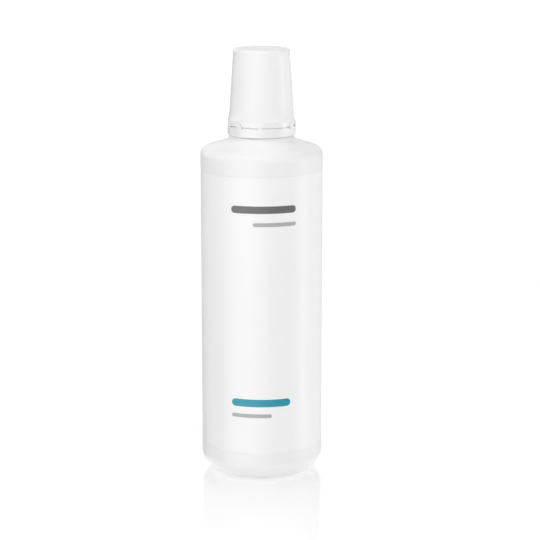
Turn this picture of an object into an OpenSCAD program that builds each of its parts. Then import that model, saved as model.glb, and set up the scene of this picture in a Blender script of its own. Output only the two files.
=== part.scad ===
// Round mouthwash bottle with a tall screw-on dosing cap and a tamper band
// Origin at the middle of the base, +Z up, millimetres

/* [Body] */
// Outer diameter of the body
body_d = 64; // [52:1:90]
// Height where the shoulder cone meets the line of the body wall
body_h = 173; // [120:1:240]
// Radius of the rounded edge round the base
base_round = 10; // [4:0.5:12]
// Wall thickness of the blown shell
shell_t = 1; // [0.6:0.1:1.6]
// Slope of the shoulder cone in degrees
shoulder_slope = 17.6; // [8:0.2:30]
// Radius of the edge between body wall and shoulder
shoulder_round = 4.5; // [2:0.5:8]
// Width of the flat ring that the bottle stands on
foot_w = 3; // [1:0.5:6]
// Depth of the dished recess at its middle
dish_h = 3; // [1.5:0.5:6]

/* [Label] */
// Bare wall between the rounded base edge and the label
label_foot = 6; // [3:0.5:30]
// Bare wall between the label and the shoulder's rounded edge
label_head = 7.7; // [3:0.1:60]
// Thickness of the label film
label_t = 0.12; // [0.08:0.01:0.2]
// Depth of the label panel below the body wall
panel_depth = 0.25; // [0.1:0.05:0.5]
// Bare margin of the panel above and below the label
panel_margin = 0.4; // [0.2:0.1:2]
// Gap between the label's two ends at the back
label_seam = 0.8; // [0.2:0.1:3]

/* [Neck] */
// Outer diameter of the neck at the root of its thread
neck_d = 25; // [21:0.2:34]
// Wall thickness of the neck
neck_t = 1.7; // [1.2:0.1:2.5]
// How far the collar at the foot of the neck stands out from it
collar_reach = 3.1; // [1:0.1:5]
// Height of the collar above the shoulder cone
collar_h = 1.3; // [0.5:0.1:3]
// Height of the neck above its collar
neck_h = 16.8; // [14.5:0.1:24]
// Depth of the screw thread
thread_depth = 1.1; // [0.6:0.1:1.3]
// How far the bead that holds the tamper band stands out from the neck
bead_reach = 2.9; // [2.4:0.1:4]
// Height of the bead's underside above the collar
bead_z = 3.4; // [2.8:0.1:4.5]
// Height of the bead
bead_h = 1.6; // [0.8:0.1:2]

/* [Tamper band] */
// Gap between the bead and the band round it
bead_gap = 1.2; // [0.8:0.1:2.5]
// Height of the band without its teeth
band_h = 4.5; // [4:0.1:6]
// Wall thickness of the band
band_t = 1.1; // [0.8:0.1:1.3]
// Height of the teeth above the band
tooth_h = 2.8; // [1.5:0.1:3]
// Width of a tooth at its foot
tooth_foot_w = 3.9; // [3:0.1:5]
// Width of a tooth at its top
tooth_top_w = 1.9; // [1:0.1:2.8]
// Width of each thin bridge across the slit
bridge_w = 2.4; // [1:0.1:4]
// Height of the slit between band and cap
slit_h = 0.6; // [0.4:0.1:1.2]
// How far the folded flaps hook in under the bead
flap_hook = 1; // [0.5:0.1:1.8]
// Number of flaps round the band
flap_count = 10; // [6:1:16]

/* [Dosing cap] */
// Height of the cap from its rim to its flat top
cap_h = 39.7; // [34:0.1:60]
// How far the wall draws in from its flare to its rounded top edge
cap_draw = 1.8; // [0.5:0.1:4]
// Radius of the rounded top edge
cap_round = 1.5; // [0.5:0.1:3]
// Wall thickness of the cup
cap_t = 1.1; // [0.8:0.1:1.3]
// Thickness of the cup's closed end
cap_end_t = 1.3; // [0.8:0.1:2.5]
// Radius inside the cup's closed end
cup_round = 2; // [1:0.1:4]
// Diameter of the moulding dimple in the flat top
dimple_d = 5; // [2:0.5:10]
// Depth of the moulding dimple
dimple_h = 0.3; // [0.1:0.05:0.6]
// Height of the straight land at the rim
rim_land_h = 3.1; // [2.8:0.1:5]
// Height of the flare above the rim land
flare_h = 6.3; // [4:0.1:10]
// Thickness of the ring deck that rests on the seal
deck_t = 1.2; // [0.8:0.1:2]
// Wall thickness of the threaded sleeve
sleeve_t = 0.85; // [0.6:0.05:1.2]
// Gap between the sleeve and the outer wall at the top of the flare
sleeve_gap = 0.8; // [0.4:0.1:2]
// Wall thickness of the plug that enters the bore
plug_t = 0.8; // [0.6:0.1:1.2]
// Length of the plug below the deck
plug_h = 3.6; // [2:0.1:6]
// Thickness of the flat sealing ring
seal_t = 0.9; // [0.6:0.1:1.5]

/* [Hidden] */
$fn = 128;
// Running clearances
glue_gap = 0.05;
plug_clear = 0.08;
thread_clear = 0.15;
seal_clear = 0.25;
tooth_clear = 0.08;
bridge_clear = 0.1;
band_lift = 0.6;
flap_play = 0.4;
sleeve_lift = 0.8;
// How far a cut runs past the face it opens
overrun = 1;
// Small shapes of the neck, the band and the cap
lip_chamfer = 0.4;
bead_land_h = 0.5;
rim_inset = 0.35;
rim_chamfer = 0.35;
tooth_proud = 0.25;
tooth_sink = 0.3;
bridge_inset = 0.2;
bridge_t = 0.7;
flap_t = 0.7;
flap_foot = 0.5;
flap_slot_w = 1.4;
band_edge = 0.5;
plug_lead = 0.5;
// Places round the band, in degrees from the front towards +X
tooth_angles = [-71, -41, 62, 94, 128, 160, 204, 248];
bridge_angles = [-3, 42, 111, 144, 182, 226];
// Number of steps along the flare
flare_steps = 8;

body_r = body_d / 2;
foot_r = body_r - base_round;
neck_r = neck_d / 2;
bore_r = neck_r - neck_t;
collar_r = neck_r + collar_reach;
bead_r = neck_r + bead_reach;
band_bore_r = bead_r + bead_gap;
band_r = band_bore_r + band_t;
rim_r = band_r - rim_inset;
flap_reach = bead_gap + flap_hook;
flap_rise = bead_z - band_lift - flap_play;
sleeve_bore_r = neck_r + thread_depth + thread_clear;
sleeve_r = sleeve_bore_r + sleeve_t;
taper_foot_r = sleeve_r + sleeve_gap + cap_t;
taper_head_r = taper_foot_r - cap_draw;
plug_r = bore_r - plug_clear;

// Height of the shoulder cone at radius r, moved inwards by inset
function cone_z(r, inset) =
    body_h + (body_r - r) * tan(shoulder_slope) - inset / cos(shoulder_slope);

collar_top = cone_z(collar_r, 0) + collar_h;
lip_z = collar_top + neck_h;
band_z = collar_top + band_lift;
band_top = band_z + band_h;
rim_z = band_top + slit_h;
cap_top = rim_z + cap_h;
seal_z = lip_z;
deck_z = seal_z + seal_t;
taper_z = rim_z + rim_land_h + flare_h;
taper_end_z = cap_top - cap_round;
dish_r = (pow(foot_r - foot_w, 2) + pow(dish_h, 2)) / (2 * dish_h);
shoulder_z = body_h - shoulder_round * tan((90 - shoulder_slope) / 2);
label_z = base_round + label_foot;
label_h = shoulder_z - label_head - label_z;

// Outside radius of the cap at height z on its straight taper
function taper_r(z) =
    taper_foot_r - cap_draw * (z - taper_z) / (taper_end_z - taper_z);

// Outside radius of the cap at height z on the flare, which leaves the taper smoothly
function flare_r(z) =
    taper_r(z) + (rim_r - taper_r(taper_z - flare_h)) * pow((taper_z - z) / flare_h, 2);

// Half section of the body and shoulder, moved inwards by inset, up to radius end_r
module body_section(inset, end_r) {
    edge_r = body_r - shoulder_round;
    tangent_r = edge_r + (shoulder_round - inset) * sin(shoulder_slope);
    tangent_z = shoulder_z + (shoulder_round - inset) * cos(shoulder_slope);
    translate([0, inset])
        square([foot_r, base_round]);
    translate([foot_r, base_round])
        circle(r = base_round - inset);
    translate([0, base_round])
        square([body_r - inset, shoulder_z - base_round]);
    translate([edge_r, shoulder_z])
        circle(r = shoulder_round - inset);
    polygon([
        [0, shoulder_z],
        [edge_r, shoulder_z],
        [tangent_r, tangent_z],
        [end_r, cone_z(end_r, inset)],
        [0, cone_z(end_r, inset)]
    ]);
}

// Round dish under the base, moved up by inset
module dish_section(inset) {
    translate([0, dish_h - dish_r])
        circle(r = dish_r + inset);
}

// Neck with its collar, bead and chamfered lip
module neck_section() {
    square([collar_r, collar_top]);
    polygon([
        [0, collar_top],
        [neck_r, collar_top],
        [neck_r, lip_z - lip_chamfer],
        [neck_r - lip_chamfer, lip_z],
        [0, lip_z]
    ]);
    translate([0, collar_top + bead_z])
        polygon([
            [0, 0],
            [bead_r, 0],
            [bead_r, bead_land_h],
            [neck_r, bead_h],
            [0, bead_h]
        ]);
}

module bottle() {
    color("white")
        rotate_extrude()
            intersection() {
                square([body_r, lip_z]);
                difference() {
                    union() {
                        body_section(0, collar_r);
                        neck_section();
                    }
                    difference() {
                        union() {
                            body_section(shell_t, bore_r);
                            translate([0, base_round])
                                square([bore_r, lip_z + overrun - base_round]);
                        }
                        dish_section(shell_t);
                    }
                    dish_section(0);
                    translate([body_r - panel_depth, label_z - panel_margin])
                        square([panel_depth + overrun, label_h + 2 * panel_margin]);
                }
            }
}

// Thin film wrapped round the panel, its ends almost meeting at the back
module label() {
    film_r = body_r - panel_depth + glue_gap;
    color("whitesmoke")
        difference() {
            translate([0, 0, label_z])
                rotate_extrude()
                    translate([film_r, 0])
                        square([label_t, label_h]);
            translate([-label_seam / 2, 0, label_z - overrun])
                cube([label_seam, body_r, label_h + 2 * overrun]);
        }
}

// Wall of the band and the ring of flaps folded up inside it
module band_section() {
    translate([band_bore_r, 0])
        polygon([
            [0, 0],
            [band_t - band_edge, 0],
            [band_t, band_edge],
            [band_t, band_h],
            [0, band_h]
        ]);
}

module flap_section() {
    translate([band_bore_r, flap_foot])
        polygon([
            [band_t / 2, -flap_foot],
            [band_t / 2, flap_t],
            [0, flap_t],
            [-flap_reach + flap_t, flap_rise - flap_foot],
            [-flap_reach, flap_rise - flap_foot],
            [-flap_t, -flap_foot]
        ]);
}

// Tapered tooth that stands on the band, outside the cap's rim and proud of the band
module tooth() {
    tooth_bore_r = rim_r + tooth_clear;
    tooth_r = band_r + tooth_proud;
    intersection() {
        rotate([90, 0, 0])
            linear_extrude(height = tooth_r + overrun)
                polygon([
                    [-tooth_foot_w / 2, band_h - tooth_sink],
                    [tooth_foot_w / 2, band_h - tooth_sink],
                    [tooth_top_w / 2, band_h + tooth_h],
                    [-tooth_top_w / 2, band_h + tooth_h]
                ]);
        rotate_extrude()
            translate([tooth_bore_r, 0])
                square([tooth_r - tooth_bore_r, band_h + tooth_h + overrun]);
    }
}

// Thin bridge that ties band and cap together until the first opening
module bridge() {
    bridge_r = band_r - bridge_inset;
    translate([-bridge_w / 2, -bridge_r, band_h - band_edge])
        cube([bridge_w, bridge_t, band_edge + slit_h - bridge_clear]);
}

module tamper_band() {
    color("white")
        translate([0, 0, band_z]) {
            rotate_extrude()
                band_section();
            difference() {
                rotate_extrude()
                    flap_section();
                for (i = [0 : flap_count - 1])
                    rotate([0, 0, i * 360 / flap_count])
                        translate([-flap_slot_w / 2, -band_bore_r, -overrun])
                            cube([flap_slot_w, band_bore_r, flap_rise + 2 * overrun]);
            }
            for (angle = tooth_angles)
                rotate([0, 0, angle])
                    tooth();
            for (angle = bridge_angles)
                rotate([0, 0, angle])
                    bridge();
        }
}

// Flat ring between the lip of the bottle and the deck of the cap
module sealing_ring() {
    seal_bore_r = bore_r + seal_clear;
    seal_r = sleeve_bore_r - seal_clear;
    color("gainsboro")
        translate([0, 0, seal_z])
            rotate_extrude()
                translate([seal_bore_r, 0])
                    square([seal_r - seal_bore_r, seal_t]);
}

// Outline of the cap's outer wall, moved inwards by inset, from the rim to the end of the taper
module wall_section(inset) {
    flare_points = [
        for (i = [0 : flare_steps])
            let (z = taper_z - flare_h + flare_h * i / flare_steps)
                [flare_r(z) - inset, z]
    ];
    polygon(concat(
        [[0, rim_z], [rim_r - inset, rim_z]],
        flare_points,
        [[taper_head_r - inset, taper_end_z], [0, taper_end_z]]
    ));
}

// Closed end with a rounded corner of radius corner, its face at height top_z
module end_section(outer_r, top_z, corner) {
    translate([0, taper_z])
        square([outer_r - corner, top_z - taper_z]);
    translate([outer_r - corner, top_z - corner])
        circle(r = corner);
}

module cup_outside() {
    difference() {
        union() {
            wall_section(0);
            end_section(taper_head_r, cap_top, cap_round);
        }
        translate([rim_r, rim_z])
            rotate([0, 0, 45])
                square(rim_chamfer * sqrt(2), center = true);
        translate([0, cap_top - dimple_h])
            square([dimple_d / 2, dimple_h + overrun]);
    }
}

module cup_inside() {
    inner_top = cap_top - cap_end_t;
    inner_r = taper_r(inner_top - cup_round) - cap_t;
    intersection() {
        wall_section(cap_t);
        square([band_r, inner_top - cup_round]);
    }
    end_section(inner_r, inner_top, cup_round);
    translate([0, rim_z - overrun])
        square([rim_r - cap_t, 2 * overrun]);
}

module dosing_cap() {
    deck_r = taper_r(deck_z) - cap_t / 2;
    sleeve_z = rim_z + sleeve_lift;
    color("white")
        rotate_extrude() {
            difference() {
                cup_outside();
                cup_inside();
            }
            translate([plug_r - plug_t, deck_z])
                square([deck_r - plug_r + plug_t, deck_t]);
            translate([sleeve_bore_r, sleeve_z])
                square([sleeve_r - sleeve_bore_r, deck_z + deck_t - sleeve_z]);
            translate([plug_r - plug_t, deck_z - plug_h])
                polygon([
                    [0, 0],
                    [plug_t - plug_lead, 0],
                    [plug_t, plug_lead],
                    [plug_t, plug_h + deck_t],
                    [0, plug_h + deck_t]
                ]);
        }
}

bottle();
label();
tamper_band();
sealing_ring();
dosing_cap();
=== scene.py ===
import math

import bpy
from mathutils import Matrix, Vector
from mathutils.bvhtree import BVHTree

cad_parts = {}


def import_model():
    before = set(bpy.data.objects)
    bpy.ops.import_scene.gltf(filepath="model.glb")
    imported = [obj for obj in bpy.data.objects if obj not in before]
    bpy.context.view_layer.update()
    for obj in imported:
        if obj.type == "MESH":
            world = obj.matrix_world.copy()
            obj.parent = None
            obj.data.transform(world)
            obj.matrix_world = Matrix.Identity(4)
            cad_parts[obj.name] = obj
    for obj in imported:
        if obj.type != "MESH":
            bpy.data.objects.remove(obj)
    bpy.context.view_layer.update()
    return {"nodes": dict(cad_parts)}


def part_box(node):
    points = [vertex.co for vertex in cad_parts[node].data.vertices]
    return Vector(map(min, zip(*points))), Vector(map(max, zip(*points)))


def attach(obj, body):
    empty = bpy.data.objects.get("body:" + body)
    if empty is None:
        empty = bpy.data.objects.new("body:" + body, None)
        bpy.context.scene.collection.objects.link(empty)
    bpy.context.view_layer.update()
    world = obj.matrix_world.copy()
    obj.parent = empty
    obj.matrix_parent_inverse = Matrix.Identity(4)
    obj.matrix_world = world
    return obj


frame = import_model()
nodes = frame["nodes"]
MM = 0.001

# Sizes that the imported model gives, in millimetres
label_low, label_high = (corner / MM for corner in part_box("label"))
cap_low, cap_high = (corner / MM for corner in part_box("dosing_cap"))
bottle_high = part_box("bottle")[1] / MM
LABEL_R = label_high.x
LIP_Z = bottle_high.z
RIM_Z = cap_low.z
CAP_TOP_Z = cap_high.z

# Sizes of the bottle's wall, for what this script adds to it, in millimetres
BODY_R = 32.0
BODY_H = 173.0
BASE_ROUND = 10.0
SHOULDER_ROUND = 4.5
SHOULDER_SLOPE = math.radians(17.6)
COLLAR_R = 15.6
COLLAR_TOP_Z = 179.50
NECK_R = 12.5
PANEL_MARGIN = 0.4

# Sizes of the moulded details that only this script makes, in millimetres
ROOT_R = 19.6
ROOT_TOP_R = 16.9
ROOT_TOP_Z = 179.95
RIDGE_W = 0.5
RIDGE_PROUD = 0.06
WELD_W = 0.9
WELD_PROUD = 0.25
GROOVE_DEPTH = 0.07
BAND_TOP_Z = 184.60
SKIN_R = 17.1
SKIN_THICK = 0.3
RIM_R = 17.35
FOOT_R = 17.40
BRIDGE_W = 2.4
BRIDGE_ANGLES = (-3, 42, 111, 144, 182, 226)
GATE_R = 0.9
GATE_RISE = 0.2
THREAD_DEPTH = 1.1
THREAD_CLEAR = 0.15
THREAD_FOOT_W = 1.9
THREAD_CREST_W = 0.8
PITCH = 4.2
TURNS = 1.5
INK_PROUD = 0.02

# Edges that are sharper than this stay crisp in the smooth shading
CREASE = math.radians(42)


# Mesh helpers

def add_mesh(name, points, faces, body):
    """One smooth mesh object from points in millimetres, riding on a body."""
    mesh = bpy.data.meshes.new(name)
    mesh.from_pydata([Vector(p) * MM for p in points], [], faces)
    mesh.validate()
    mesh.update()
    mesh.shade_smooth()
    mesh.set_sharp_from_angle(angle=CREASE)
    obj = bpy.data.objects.new(name, mesh)
    bpy.context.scene.collection.objects.link(obj)
    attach(obj, body)
    return obj


def between(start, end, steps):
    """Evenly spaced numbers from start to end."""
    return [start + (end - start) * k / steps for k in range(steps + 1)]


def smoothstep(t):
    t = min(max(t, 0.0), 1.0)
    return t * t * (3 - 2 * t)


def revolve(name, loop, body, steps=144):
    """A ring whose closed section, given as (radius, height) points, goes once round the axis."""
    count = len(loop)
    points = []
    faces = []
    for i in range(steps):
        a = math.tau * i / steps
        for r, z in loop:
            points.append((r * math.cos(a), r * math.sin(a), z))
    for i in range(steps):
        j = (i + 1) % steps
        for k in range(count):
            m = (k + 1) % count
            faces.append((i * count + k, j * count + k, j * count + m, i * count + m))
    return add_mesh(name, points, faces, body)


def arc_blocks(name, loop, angles, width, body, steps=8):
    """Short blocks of one (radius, height) section, at angles in degrees from the front towards +X."""
    count = len(loop)
    half = width / 2 / max(r for r, z in loop)
    points = []
    faces = []
    for degrees in angles:
        base = len(points)
        for i in range(steps + 1):
            a = math.radians(degrees - 90) + half * (2 * i / steps - 1)
            for r, z in loop:
                points.append((r * math.cos(a), r * math.sin(a), z))
        for i in range(steps):
            o = base + i * count
            for k in range(count):
                m = (k + 1) % count
                faces.append((o + k, o + count + k, o + count + m, o + m))
        faces.append(tuple(base + k for k in range(count)))
        faces.append(tuple(base + steps * count + k for k in reversed(range(count))))
    return add_mesh(name, points, faces, body)


def disc_dome(name, radius, base_z, rise, body, rings=6, steps=40):
    """A low dome with a flat underside on the axis, such as the mark a moulding gate leaves."""
    points = [(0, 0, base_z + rise)]
    faces = []
    for i in range(1, rings + 1):
        t = i / rings
        z = base_z + rise * math.sqrt(max(0.0, 1 - t ** 3))
        for k in range(steps):
            a = math.tau * k / steps
            points.append((radius * t * math.cos(a), radius * t * math.sin(a), z))
    for k in range(steps):
        faces.append((0, 1 + k, 1 + (k + 1) % steps))
    for i in range(rings - 1):
        for k in range(steps):
            a0 = 1 + i * steps + k
            a1 = 1 + i * steps + (k + 1) % steps
            faces.append((a0, a0 + steps, a1 + steps, a1))
    faces.append(tuple(reversed([1 + (rings - 1) * steps + k for k in range(steps)])))
    return add_mesh(name, points, faces, body)


def thread(name, foot_r, crest_r, start_z, start_turn, body, steps=96):
    """A screw ridge with rounded flanks that rises from the wall and sinks back into it at both ends."""
    total = round(steps * TURNS)
    fade = 0.12 * steps
    least_rise = 0.04
    shares = [0.0, 0.18, 0.5, 0.82, 1.0, 1.0, 0.82, 0.5, 0.18, 0.0]
    count = len(shares)
    points = []
    faces = []
    for i in range(total + 1):
        turn = start_turn + i / steps
        a = math.tau * turn
        z = start_z + PITCH * i / steps
        rise = smoothstep(min(i, total - i) / fade)
        for k, share in enumerate(shares):
            side = -1 if k < count / 2 else 1
            half = (THREAD_FOOT_W + (THREAD_CREST_W - THREAD_FOOT_W) * smoothstep(share)) / 2
            r = foot_r + (crest_r - foot_r) * share * max(rise, least_rise)
            points.append((r * math.cos(a), r * math.sin(a), z + side * half))
    for i in range(total):
        for k in range(count):
            m = (k + 1) % count
            quad = (i * count + k, (i + 1) * count + k, (i + 1) * count + m, i * count + m)
            faces.append(quad if crest_r > foot_r else tuple(reversed(quad)))
    first = tuple(range(count))
    last = tuple(total * count + k for k in range(count))
    faces.append(first if crest_r > foot_r else tuple(reversed(first)))
    faces.append(tuple(reversed(last)) if crest_r > foot_r else last)
    return add_mesh(name, points, faces, body)


def ridge(name, path, width, proud, body):
    """A fine raised line along (place, outward direction) pairs; its feet sink a little into the wall."""
    foot = (0.5, -0.05)
    flank = (0.28, proud * 0.75)
    profile = ((-foot[0], foot[1]), (-flank[0], flank[1]), (0.0, proud), flank, foot)
    count = len(profile)
    points = []
    faces = []
    for i, (place, out) in enumerate(path):
        ahead = path[min(i + 1, len(path) - 1)][0] - path[max(i - 1, 0)][0]
        across = ahead.cross(out).normalized()
        for u, v in profile:
            points.append(place + across * (u * width) + out * v)
    for i in range(len(path) - 1):
        for k in range(count):
            m = (k + 1) % count
            faces.append((i * count + k, i * count + m, (i + 1) * count + m, (i + 1) * count + k))
    faces.append(tuple(reversed(range(count))))
    faces.append(tuple((len(path) - 1) * count + k for k in range(count)))
    return add_mesh(name, points, faces, body)


def printed_bar(name, left, right, low, high, body):
    """A plain bar of ink with round ends on the label; left and right are measured along the curve."""
    inner_r = LABEL_R - INK_PROUD
    outer_r = LABEL_R + INK_PROUD
    least_half = 0.01
    column_gap = 0.4
    half = (high - low) / 2
    mid = (high + low) / 2
    end_angles = between(0, math.pi / 2, 12)
    columns = [(left + half - half * math.cos(a), half * math.sin(a)) for a in end_angles]
    straight = right - left - 2 * half
    inner_steps = max(2, round(straight / column_gap))
    for k in range(1, inner_steps):
        columns.append((left + half + straight * k / inner_steps, half))
    for a in reversed(end_angles):
        columns.append((right - half + half * math.cos(a), half * math.sin(a)))
    points = []
    faces = []
    for s, h in columns:
        a = s / LABEL_R
        for r in (outer_r, inner_r):
            for sign in (-1, 1):
                points.append((r * math.sin(a), -r * math.cos(a), mid + sign * max(h, least_half)))
    for i in range(len(columns) - 1):
        o = i * 4
        n = o + 4
        faces.append((o, n, n + 1, o + 1))
        faces.append((o + 3, n + 3, n + 2, o + 2))
        faces.append((o + 1, n + 1, n + 3, o + 3))
        faces.append((o + 2, n + 2, n, o))
    faces.append((0, 1, 3, 2))
    e = (len(columns) - 1) * 4
    faces.append((e + 2, e + 3, e + 1, e))
    return add_mesh(name, points, faces, body)


# Material helpers

WHITE = (1, 1, 1, 1)


class Nodes:
    """Short calls for building one material."""

    def __init__(self, name):
        self.mat = bpy.data.materials.new(name)
        self.mat.use_nodes = True
        self.tree = self.mat.node_tree
        self.tree.nodes.clear()
        self.out = self.tree.nodes.new("ShaderNodeOutputMaterial")
        self.shader = self.tree.nodes.new("ShaderNodeBsdfPrincipled")
        self.link(self.shader.outputs[0], self.out.inputs["Surface"])
        coords = self.tree.nodes.new("ShaderNodeTexCoord")
        self.place = coords.outputs["Object"]
        split = self.tree.nodes.new("ShaderNodeSeparateXYZ")
        self.link(self.place, split.inputs[0])
        self.x, self.y, self.z = split.outputs

    def link(self, a, b):
        self.tree.links.new(a, b)

    def set(self, **values):
        for key, value in values.items():
            self.shader.inputs[key.replace("_", " ")].default_value = value

    def math(self, op, a, b=None, clamp=False):
        n = self.tree.nodes.new("ShaderNodeMath")
        n.operation = op
        n.use_clamp = clamp
        for socket, value in zip(n.inputs, (a, b)):
            if value is None:
                continue
            if isinstance(value, (int, float)):
                socket.default_value = value
            else:
                self.link(value, socket)
        return n.outputs[0]

    def ramp(self, value, from_low, from_high, to_low, to_high, kind="LINEAR"):
        n = self.tree.nodes.new("ShaderNodeMapRange")
        n.interpolation_type = kind
        n.clamp = True
        self.link(value, n.inputs["Value"])
        names = ("From Min", "From Max", "To Min", "To Max")
        for key, v in zip(names, (from_low, from_high, to_low, to_high)):
            n.inputs[key].default_value = v
        return n.outputs["Result"]

    def stretch(self, sx, sy, sz):
        n = self.tree.nodes.new("ShaderNodeMapping")
        self.link(self.place, n.inputs["Vector"])
        n.inputs["Scale"].default_value = (sx, sy, sz)
        return n.outputs["Vector"]

    def noise(self, scale, detail, rough, vector=None):
        n = self.tree.nodes.new("ShaderNodeTexNoise")
        self.link(vector or self.place, n.inputs["Vector"])
        n.inputs["Scale"].default_value = scale
        n.inputs["Detail"].default_value = detail
        n.inputs["Roughness"].default_value = rough
        return n.outputs["Fac"]

    def cells(self, scale):
        n = self.tree.nodes.new("ShaderNodeTexVoronoi")
        self.link(self.place, n.inputs["Vector"])
        n.inputs["Scale"].default_value = scale
        return n.outputs["Distance"]

    def blend(self, factor, colour_a, colour_b):
        n = self.tree.nodes.new("ShaderNodeMix")
        n.data_type = "RGBA"
        self.link(factor, n.inputs["Factor"])
        n.inputs["A"].default_value = (*colour_a, 1)
        n.inputs["B"].default_value = (*colour_b, 1)
        return n.outputs["Result"]

    def bump(self, height, strength, distance_mm, before=None):
        n = self.tree.nodes.new("ShaderNodeBump")
        n.inputs["Strength"].default_value = strength
        n.inputs["Distance"].default_value = distance_mm * MM
        self.link(height, n.inputs["Height"])
        if before is not None:
            self.link(before, n.inputs["Normal"])
        return n.outputs["Normal"]

    def finish(self, colour, rough, normal):
        self.link(colour, self.shader.inputs["Base Color"])
        self.link(rough, self.shader.inputs["Roughness"])
        self.link(normal, self.shader.inputs["Normal"])
        return self.mat


def give(obj, material):
    obj.data.materials.clear()
    obj.data.materials.append(material)


def grey(v):
    return (v, v, v)


# Materials

def bottle_material():
    """Blown polyethylene: satin white, faint orange peel, slow waves and a parting line at both sides."""
    m = Nodes("bottle_plastic")
    waves = m.noise(scale=30, detail=1.0, rough=0.4, vector=m.stretch(1, 1, 0.45))
    colour = m.blend(m.ramp(waves, 0.35, 0.65, 0, 1), grey(0.868), grey(0.884))
    peel = m.noise(scale=1500, detail=2.0, rough=0.5)
    scuffs = m.noise(scale=420, detail=4.0, rough=0.7, vector=m.stretch(1, 1, 0.08))
    worn = m.ramp(m.z, 0.0, 0.006, 0.10, 0.0)
    rough = m.math("ADD", m.ramp(scuffs, 0.3, 0.7, 0.31, 0.37), worn)
    side = m.math("ABSOLUTE", m.y)
    line = m.ramp(side, 0.00008, 0.00026, 1, 0, "SMOOTHSTEP")
    normal = m.bump(waves, strength=0.10, distance_mm=0.9)
    normal = m.bump(peel, strength=0.06, distance_mm=0.10, before=normal)
    normal = m.bump(line, strength=0.35, distance_mm=0.08, before=normal)
    m.set(IOR=1.5)
    return m.finish(colour, rough, normal)


def label_material():
    """Printed film: a little whiter and smoother than the bottle, with faint stretch lines round it."""
    m = Nodes("label_film")
    slow = m.noise(scale=22, detail=1.0, rough=0.4, vector=m.stretch(1, 1, 0.6))
    colour = m.blend(m.ramp(slow, 0.35, 0.65, 0, 1), grey(0.905), grey(0.920))
    grain = m.noise(scale=2200, detail=2.0, rough=0.6)
    drawn = m.noise(scale=260, detail=2.0, rough=0.5, vector=m.stretch(0.12, 0.12, 1))
    rough = m.ramp(grain, 0.3, 0.7, 0.27, 0.33)
    normal = m.bump(slow, strength=0.08, distance_mm=0.8)
    normal = m.bump(drawn, strength=0.03, distance_mm=0.12, before=normal)
    normal = m.bump(grain, strength=0.05, distance_mm=0.05, before=normal)
    m.set(IOR=1.5)
    return m.finish(colour, rough, normal)


def cap_material():
    """Injection-moulded polypropylene: satin white, faint flow clouds, fine drag lines along the draw."""
    m = Nodes("cap_plastic")
    flow = m.noise(scale=45, detail=1.5, rough=0.5, vector=m.stretch(1, 1, 0.5))
    colour = m.blend(m.ramp(flow, 0.35, 0.65, 0, 1), grey(0.872), grey(0.884))
    drag = m.noise(scale=1400, detail=2.0, rough=0.6, vector=m.stretch(1, 1, 0.04))
    fine = m.noise(scale=2600, detail=2.0, rough=0.5)
    rough = m.ramp(drag, 0.3, 0.7, 0.205, 0.225)
    normal = m.bump(flow, strength=0.05, distance_mm=0.4)
    normal = m.bump(fine, strength=0.02, distance_mm=0.04, before=normal)
    m.set(IOR=1.49, Specular_IOR_Level=0.6)
    return m.finish(colour, rough, normal)


def foam_material():
    """Closed-cell foam of the sealing ring: matte, greyer, with small cells."""
    m = Nodes("seal_foam")
    cells = m.cells(1500)
    tone = m.noise(scale=300, detail=3.0, rough=0.6)
    colour = m.blend(m.ramp(tone, 0.3, 0.7, 0, 1), grey(0.68), grey(0.76))
    rough = m.ramp(tone, 0.3, 0.7, 0.72, 0.86)
    normal = m.bump(cells, strength=0.4, distance_mm=0.12)
    m.set(IOR=1.45)
    return m.finish(colour, rough, normal)


def ink_material(name, colour_a, colour_b):
    """Screen-printed ink: slightly uneven coverage, satin."""
    m = Nodes(name)
    mottle = m.noise(scale=900, detail=3.0, rough=0.6)
    colour = m.blend(m.ramp(mottle, 0.35, 0.65, 0, 1), colour_a, colour_b)
    rough = m.ramp(mottle, 0.3, 0.7, 0.30, 0.40)
    normal = m.bump(mottle, strength=0.08, distance_mm=0.03)
    m.set(IOR=1.5)
    return m.finish(colour, rough, normal)


bottle_mat = bottle_material()
label_mat = label_material()
cap_mat = cap_material()
foam_mat = foam_material()
ink_dark = ink_material("ink_grey_dark", grey(0.125), grey(0.145))
ink_pale = ink_material("ink_grey_pale", grey(0.40), grey(0.44))
ink_teal = ink_material("ink_teal", (0.012, 0.27, 0.36), (0.016, 0.30, 0.39))

for node, material in (
    ("bottle", bottle_mat),
    ("label", label_mat),
    ("tamper_band", cap_mat),
    ("dosing_cap", cap_mat),
    ("sealing_ring", foam_mat),
):
    give(nodes[node], material)


# The screw ridges of neck and cap run side by side, half a pitch apart
ridge_sink = 0.12
start_below_lip = 8.7
sleeve_bore_r = NECK_R + THREAD_DEPTH + THREAD_CLEAR
neck_start = LIP_Z - start_below_lip
neck_thread = thread("neck_thread", NECK_R - ridge_sink, NECK_R + THREAD_DEPTH, neck_start, 0.0,
                     "bottle")
give(neck_thread, bottle_mat)
lead = 1 / 3
cap_start = neck_start - PITCH / 2 + PITCH * lead
cap_thread = thread("cap_thread", sleeve_bore_r + ridge_sink, NECK_R + THREAD_CLEAR, cap_start, lead,
                    "cap")
give(cap_thread, cap_mat)


# The shoulder sweeps up to the neck in a hollow curve that ends just clear of the band

def shoulder_z(r):
    return BODY_H + (BODY_R - r) * math.tan(SHOULDER_SLOPE)


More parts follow.
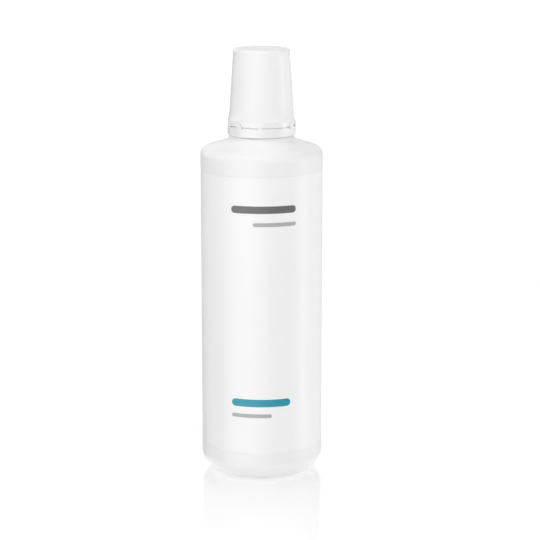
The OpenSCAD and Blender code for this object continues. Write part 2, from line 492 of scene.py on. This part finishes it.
root_round = 0.25
root_bevel = 0.07
root_into_shoulder = 0.15
root_below_collar = 1.5
root_inner_r = COLLAR_R - 0.6
root_foot = (ROOT_R, shoulder_z(ROOT_R) - 0.03)
root_bend = (ROOT_TOP_R, shoulder_z(ROOT_TOP_R))
root_head = (ROOT_TOP_R, ROOT_TOP_Z - root_round)
root_curve = []
for t in between(0, 1, 16):
    root_curve.append(tuple((1 - t) ** 2 * a + 2 * t * (1 - t) * b + t * t * c
                            for a, b, c in zip(root_foot, root_bend, root_head)))
root_loop = [
    (root_inner_r, ROOT_TOP_Z),
    (root_inner_r, COLLAR_TOP_Z - root_below_collar),
    (ROOT_R, root_foot[1] - root_into_shoulder),
    *root_curve,
    (ROOT_TOP_R - root_bevel, ROOT_TOP_Z - root_bevel),
    (ROOT_TOP_R - root_round, ROOT_TOP_Z),
]
give(revolve("neck_root", root_loop, "bottle"), bottle_mat)


# The halves of the blow mould leave a fine line on both sides, and the pinched tube one across the base

def base_path(side):
    """Round the base's edge, as far as the line stays inside the body's widest place."""
    centre = Vector((side * (BODY_R - BASE_ROUND), 0, BASE_ROUND))
    spare = 0.02
    widest = BODY_R - RIDGE_PROUD - spare
    path = []
    for degrees in between(80, 5, 24):
        t = math.radians(degrees)
        out = Vector((side * math.cos(t), 0, -math.sin(t)))
        path.append((centre + out * BASE_ROUND, out))
    return [(place, out) for place, out in path if abs(place.x) < widest]


def shoulder_path(side):
    """Over the shoulder's rounded edge, up its slope and along the hollow curve to the neck."""
    fillet_start = math.radians(11.5)
    fillet_end = math.pi / 2 - SHOULDER_SLOPE
    fillet_z = BODY_H - SHOULDER_ROUND * math.tan(fillet_end / 2)
    centre = Vector((side * (BODY_R - SHOULDER_ROUND), 0, fillet_z))
    path = []
    for t in between(fillet_start, fillet_end, 16):
        out = Vector((side * math.cos(t), 0, math.sin(t)))
        path.append((centre + out * SHOULDER_ROUND, out))
    edge, slope_out = path[-1]
    for r in between(abs(edge.x), ROOT_R + 0.3, 8)[1:]:
        path.append((Vector((side * r, 0, shoulder_z(r))), slope_out))
    for (r0, z0), (r1, z1) in zip(root_curve[:-1], root_curve[1:]):
        along = Vector((side * (r1 - r0), 0, z1 - z0)).normalized()
        middle = Vector((side * (r0 + r1) / 2, 0, (z0 + z1) / 2))
        path.append((middle, Vector((side * along.z, 0, -side * along.x))))
    return path


for name, side in (("parting_line_left", -1), ("parting_line_right", 1)):
    for ending, path in (("_base", base_path(side)), ("_shoulder", shoulder_path(side))):
        give(ridge(name + ending, path, RIDGE_W, RIDGE_PROUD, "bottle"), bottle_mat)

# The rays that find the underside run a little beside the middle, so that none meets an edge of the mesh
shell = nodes["bottle"].data
corners = [v.co for v in shell.vertices]
shell_tree = BVHTree.FromPolygons(corners, [tuple(p.vertices) for p in shell.polygons])
weld_half = 17.0
weld_clear = 0.45
ray_start_z = -5
beside_seam = 0.0137
weld_path = []
for x in between(-weld_half, weld_half, 60):
    hit = shell_tree.ray_cast(Vector((x, beside_seam, ray_start_z)) * MM, Vector((0, 0, 1)))[0]
    if hit is not None and hit.z / MM > weld_clear:
        weld_path.append((Vector((x, 0, hit.z / MM)), Vector((0, 0, -1))))
give(ridge("base_weld_line", weld_path, WELD_W, WELD_PROUD, "bottle"), bottle_mat)


# The groove at both edges of the label is nearly filled, so that a faint line is left
groove_foot = BODY_R - 0.4
label_step = 0.02
label_gap = 0.02
wall_overlap = 0.03
wall_side = BODY_R - GROOVE_DEPTH
label_side = LABEL_R - GROOVE_DEPTH + label_step
wall_z = label_low.z - PANEL_MARGIN - wall_overlap
edge_z = label_low.z - label_gap
low_loop = ((groove_foot, edge_z), (groove_foot, wall_z), (wall_side, wall_z), (label_side, edge_z))
give(revolve("panel_edge_low", low_loop, "bottle"), bottle_mat)
edge_z = label_high.z + label_gap
wall_z = label_high.z + PANEL_MARGIN + wall_overlap
high_loop = ((groove_foot, wall_z), (groove_foot, edge_z), (label_side, edge_z), (wall_side, wall_z))
give(revolve("panel_edge_high", high_loop, "bottle"), bottle_mat)


# A thin skin of plastic at the back of the slit between band and cap
skin_below_slit = 0.3
skin_above_slit = 0.5
skin_low = BAND_TOP_Z - skin_below_slit
skin_high = BAND_TOP_Z + skin_above_slit
skin_back = SKIN_R - SKIN_THICK
skin_loop = ((skin_back, skin_low), (SKIN_R, skin_low), (SKIN_R, skin_high), (skin_back, skin_high))
give(revolve("score_skin", skin_loop, "band"), cap_mat)


# The upper feet of the bridges fill the chamfer of the cap's rim, just clear of the bridges below them
foot_below_rim = 0.08
foot_above_rim = 0.42
foot_bevel = 0.03
foot_shoulder = 0.1
foot_into_wall = 0.01
foot_low = RIM_Z - foot_below_rim
foot_high = RIM_Z + foot_above_rim
foot_back = RIM_R - 0.5
foot_loop = (
    (foot_back, foot_low),
    (FOOT_R - foot_bevel, foot_low),
    (FOOT_R, foot_low + foot_bevel),
    (FOOT_R, foot_high - foot_shoulder),
    (RIM_R - foot_into_wall, foot_high),
    (foot_back, foot_high),
)
give(arc_blocks("bridge_feet", foot_loop, BRIDGE_ANGLES, BRIDGE_W, "cap"), cap_mat)


# The gate mark lies in the dimple of the cap's flat top
gate_z = CAP_TOP_Z - 0.32
give(disc_dome("gate_mark", GATE_R, gate_z, GATE_RISE, "cap"), cap_mat)


# Plain printed bars on the label, in millimetres: name, left, right, low, high and ink
BARS = (
    ("print_bar_upper", -16.1, 18.6, 143.7, 147.5, ink_dark),
    ("print_line_upper", -4.4, 18.6, 136.9, 138.9, ink_pale),
    ("print_bar_lower", -16.1, 15.6, 41.3, 45.3, ink_teal),
    ("print_line_lower", -16.1, 5.4, 35.4, 37.4, ink_pale),
)
for name, left, right, low, high, ink in BARS:
    give(printed_bar(name, left, right, low, high, "bottle"), ink)


# The floor, in metres and with radii from the object's axis
FLOOR_SIZE = 12.0
FLOOR_CUTS = 8
FLOOR_Z = -0.00005
FLOOR_SEEN = 0.35
# Painted light: the floor's glow right round the base is stronger than elsewhere, to lift the contact
# shadow
FLOOR_PAINTED_LIGHT_CONTACT = 0.96
FLOOR_GLOW_NEAR = 0.72
FLOOR_GLOW_FAR = 0.88
MIRROR_ROUGHNESS = 0.08
MIRROR_GAIN_NEAR = 2.9
MIRROR_GAIN_FAR = 1.2
MIRROR_SHARE_CONTACT = 0.60
MIRROR_SHARE_NEAR = 0.92


def floor():
    """A pale glossy table that keeps the shadow, lightened by painted light round the base, and a soft
    mirror image, which fades away from the base.
    """
    points = []
    faces = []
    for j in range(FLOOR_CUTS + 1):
        for i in range(FLOOR_CUTS + 1):
            x = FLOOR_SIZE * (i / FLOOR_CUTS - 0.5)
            y = FLOOR_SIZE * (j / FLOOR_CUTS - 0.5)
            points.append((x, y, FLOOR_Z))
    for j in range(FLOOR_CUTS):
        for i in range(FLOOR_CUTS):
            a = j * (FLOOR_CUTS + 1) + i
            faces.append((a, a + 1, a + FLOOR_CUTS + 2, a + FLOOR_CUTS + 1))
    mesh = bpy.data.meshes.new("floor")
    mesh.from_pydata(points, [], faces)
    obj = bpy.data.objects.new("floor", mesh)
    bpy.context.scene.collection.objects.link(obj)
    obj.visible_glossy = False

    m = Nodes("floor_pale")
    tree = m.tree
    tree.nodes.remove(m.shader)
    away = m.math("SQRT", m.math("ADD", m.math("POWER", m.x, 2), m.math("POWER", m.y, 2)))
    seen = tree.nodes.new("ShaderNodeLightPath").outputs["Is Camera Ray"]

    # Matt and darker to the camera, with a glow on top that brings it back to white, and stronger right
    # round the base as painted light
    matt = tree.nodes.new("ShaderNodeBsdfDiffuse")
    m.link(m.blend(seen, grey(0.9), grey(FLOOR_SEEN)), matt.inputs["Color"])
    glow = tree.nodes.new("ShaderNodeEmission")
    glow.inputs["Color"].default_value = WHITE
    level = m.ramp(away, 0.3, 1.8, FLOOR_GLOW_NEAR, FLOOR_GLOW_FAR, "SMOOTHSTEP")
    # Painted light: a stronger glow right round the base, which lifts the object's contact shadow on the
    # floor
    contact = m.ramp(away, 0.025, 0.038, FLOOR_PAINTED_LIGHT_CONTACT, FLOOR_GLOW_NEAR, "SMOOTHSTEP")
    level = m.math("MAXIMUM", level, contact)
    m.link(m.math("MULTIPLY", level, seen), glow.inputs["Strength"])
    both = tree.nodes.new("ShaderNodeAddShader")
    m.link(matt.outputs[0], both.inputs[0])
    m.link(glow.outputs[0], both.inputs[1])

    # A mirror that grows at a flat angle, weakens at the line of contact and ends away from the object
    mirror = tree.nodes.new("ShaderNodeBsdfGlossy")
    mirror.inputs["Color"].default_value = WHITE
    mirror.inputs["Roughness"].default_value = MIRROR_ROUGHNESS
    fresnel = tree.nodes.new("ShaderNodeFresnel")
    fresnel.inputs["IOR"].default_value = 1.5
    gain = m.ramp(away, 0.030, 0.20, MIRROR_GAIN_NEAR, MIRROR_GAIN_FAR, "SMOOTHSTEP")
    share = m.math("MULTIPLY", fresnel.outputs[0], gain, clamp=True)
    near = m.ramp(away, 0.0235, 0.034, MIRROR_SHARE_CONTACT, MIRROR_SHARE_NEAR, "SMOOTHSTEP")
    share = m.math("MULTIPLY", share, near)
    share = m.math("MULTIPLY", share, m.ramp(away, 0.15, 0.5, 1.0, 0.0, "SMOOTHSTEP"))
    share = m.math("MULTIPLY", share, seen)
    mixed = tree.nodes.new("ShaderNodeMixShader")
    m.link(share, mixed.inputs[0])
    m.link(both.outputs[0], mixed.inputs[1])
    m.link(mirror.outputs[0], mixed.inputs[2])
    m.link(mixed.outputs[0], m.out.inputs["Surface"])
    mesh.materials.append(m.mat)


floor()


# Light: levels of the surroundings in reflections, by azimuth in degrees, 0 in front and +90 at +X
# Set one by one: SKYLINE, HORIZON, DOWN from -80 to 20 degrees and LEVEL from 60 to 102 degrees.
# The other levels and the lamps' powers were made by a least-squares program that matched renders
# to the photograph's brightness. The levels were rounded after the fit, by 0.04 at most.
REFLECTED_TOP = 3.0
REFLECTED_DOWN = (
    (-180, 1.50), (-120, 1.90), (-80, 2.20), (-50, 2.90),
    (-10, 2.90), (20, 2.20), (120, 2.20), (180, 1.50),
)
REFLECTED_LEVEL = (
    (-180, 0.55), (-160, 0.25), (-80, 0.25), (-60, 2.10), (-40, 2.80), (-20, 2.80),
    (0, 1.85), (20, 0.25), (40, 0.25), (60, 0.40), (73, 0.80), (82, 3.00),
    (93, 3.00), (102, 1.20), (120, 1.65), (140, 1.30), (160, 0.85), (180, 0.55),
)
REFLECTED_SKYLINE = (
    (-180, 0.60), (-150, 0.60), (-110, 1.00), (110, 1.00), (150, 0.60), (180, 0.60),
)
REFLECTED_HORIZON = (
    (-180, 1.00), (180, 1.00),
)
REFLECTED_UP = (
    (-180, 0.00), (-90, 0.00), (-60, 0.60), (-30, 1.50), (0, 0.70), (30, 0.00), (180, 0.00),
)

# Each band with the heights of the direction, straight up being 1, between which it takes over
BANDS_ABOVE = (
    (REFLECTED_LEVEL, -0.50, -0.34),
    (REFLECTED_SKYLINE, -0.06, 0.02),
    (REFLECTED_HORIZON, 0.13, 0.19),
    (REFLECTED_UP, 0.36, 0.48),
)
WORLD_LEVEL = 0.50


def world():
    """White to the camera, an even soft level for matt light, and a studio of pale cards for reflections.

    Reflections see five bands, each with its own levels by azimuth: down, level (which upright walls
    reflect), skyline (which the cap's flat top reflects), horizon (which the floor mirrors) and up.
    """
    w = bpy.data.worlds.new("studio")
    bpy.context.scene.world = w
    w.use_nodes = True
    w.cycles.sampling_method = "NONE"
    tree = w.node_tree
    tree.nodes.clear()
    new = tree.nodes.new
    link = tree.links.new
    coords = new("ShaderNodeTexCoord")
    split = new("ShaderNodeSeparateXYZ")
    link(coords.outputs["Generated"], split.inputs[0])
    back = new("ShaderNodeMath")
    back.operation = "MULTIPLY"
    link(split.outputs["Y"], back.inputs[0])
    back.inputs[1].default_value = -1
    turn = new("ShaderNodeMath")
    turn.operation = "ARCTAN2"
    link(split.outputs["X"], turn.inputs[0])
    link(back.outputs[0], turn.inputs[1])
    unit = new("ShaderNodeMapRange")
    unit.inputs["From Min"].default_value = -math.pi
    unit.inputs["From Max"].default_value = math.pi
    link(turn.outputs[0], unit.inputs["Value"])

    def round_ramp(levels):
        ramp = new("ShaderNodeValToRGB")
        ramp.color_ramp.interpolation = "EASE"
        stops = ramp.color_ramp.elements
        stops.remove(stops[1])
        for i, (degrees, level) in enumerate(levels):
            place = (degrees + 180) / 360
            stop = stops[0] if i == 0 else stops.new(place)
            stop.position = place
            v = level / REFLECTED_TOP
            stop.color = (v, v, v, 1)
        link(unit.outputs["Result"], ramp.inputs["Fac"])
        return ramp.outputs["Color"]

    def over(low, high, from_z, to_z):
        rise = new("ShaderNodeMapRange")
        rise.interpolation_type = "SMOOTHSTEP"
        rise.inputs["From Min"].default_value = from_z
        rise.inputs["From Max"].default_value = to_z
        link(split.outputs["Z"], rise.inputs["Value"])
        mix = new("ShaderNodeMix")
        mix.data_type = "RGBA"
        link(rise.outputs["Result"], mix.inputs["Factor"])
        link(low, mix.inputs["A"])
        link(high, mix.inputs["B"])
        return mix.outputs["Result"]

    reflected = round_ramp(REFLECTED_DOWN)
    for levels, from_z, to_z in BANDS_ABOVE:
        reflected = over(reflected, round_ramp(levels), from_z, to_z)
    path = new("ShaderNodeLightPath")
    direct = new("ShaderNodeMath")
    direct.operation = "MAXIMUM"
    link(path.outputs["Is Camera Ray"], direct.inputs[0])
    link(path.outputs["Is Transmission Ray"], direct.inputs[1])
    seen = new("ShaderNodeBackground")
    seen.inputs["Color"].default_value = WHITE
    seen.inputs["Strength"].default_value = 1
    shiny = new("ShaderNodeBackground")
    link(reflected, shiny.inputs["Color"])
    shiny.inputs["Strength"].default_value = REFLECTED_TOP
    soft = new("ShaderNodeBackground")
    soft.inputs["Color"].default_value = WHITE
    soft.inputs["Strength"].default_value = WORLD_LEVEL
    lit = new("ShaderNodeMixShader")
    link(path.outputs["Is Glossy Ray"], lit.inputs[0])
    link(soft.outputs[0], lit.inputs[1])
    link(shiny.outputs[0], lit.inputs[2])
    total = new("ShaderNodeMixShader")
    link(direct.outputs[0], total.inputs[0])
    link(lit.outputs[0], total.inputs[1])
    link(seen.outputs[0], total.inputs[2])
    out = new("ShaderNodeOutputWorld")
    link(total.outputs[0], out.inputs["Surface"])


world()


# Soft lamps: name, azimuth and elevation in degrees, width and height in metres, power
# The powers were fitted by least squares together with most of the levels above. The
# powers were made by the same program as most of the levels above
LAMPS = (
    ("lamp_front_high", 0, 60, 0.7, 0.7, 2.0),
    ("lamp_back_high", 180, 50, 0.8, 0.6, 1.1),
    ("lamp_right", 35, 40, 0.6, 0.6, 3.5),
    ("lamp_left_back", -120, 45, 0.6, 0.6, 0.3),
    ("lamp_left", -75, 35, 0.6, 0.6, 3.1),
)
LAMP_DISTANCE = 1.1
LAMP_AIM = Vector((0, 0, 0.12))


def softbox(name, azimuth, elevation, width, height, power):
    """A soft rectangular lamp that looks at the object and isn't seen in reflections."""
    a = math.radians(azimuth)
    e = math.radians(elevation)
    away = Vector((math.sin(a) * math.cos(e), -math.cos(a) * math.cos(e), math.sin(e)))
    data = bpy.data.lights.new(name, "AREA")
    data.shape = "RECTANGLE"
    data.size = width
    data.size_y = height
    data.energy = power
    obj = bpy.data.objects.new(name, data)
    bpy.context.scene.collection.objects.link(obj)
    obj.visible_glossy = False
    obj.location = LAMP_AIM + away * LAMP_DISTANCE
    obj.rotation_mode = "QUATERNION"
    obj.rotation_quaternion = away.to_track_quat("Z", "Y")


for lamp in LAMPS:
    softbox(*lamp)


# Camera, at the photograph's viewing angle, from a least-squares match of edges in the photograph
CAMERA_PLACE = (0.0044, -0.9683, 0.3193)
CAMERA_DIP = 0.2153
camera = bpy.data.cameras.new("camera")
camera.lens = 124.67
camera.sensor_width = 36
camera.clip_start = 0.05
camera.clip_end = 40
camera_obj = bpy.data.objects.new("camera", camera)
bpy.context.scene.collection.objects.link(camera_obj)
camera_obj.location = CAMERA_PLACE
camera_obj.rotation_euler = (math.pi / 2 - CAMERA_DIP, 0, 0)
bpy.context.scene.camera = camera_obj

bpy.context.scene.view_settings.view_transform = "Standard"
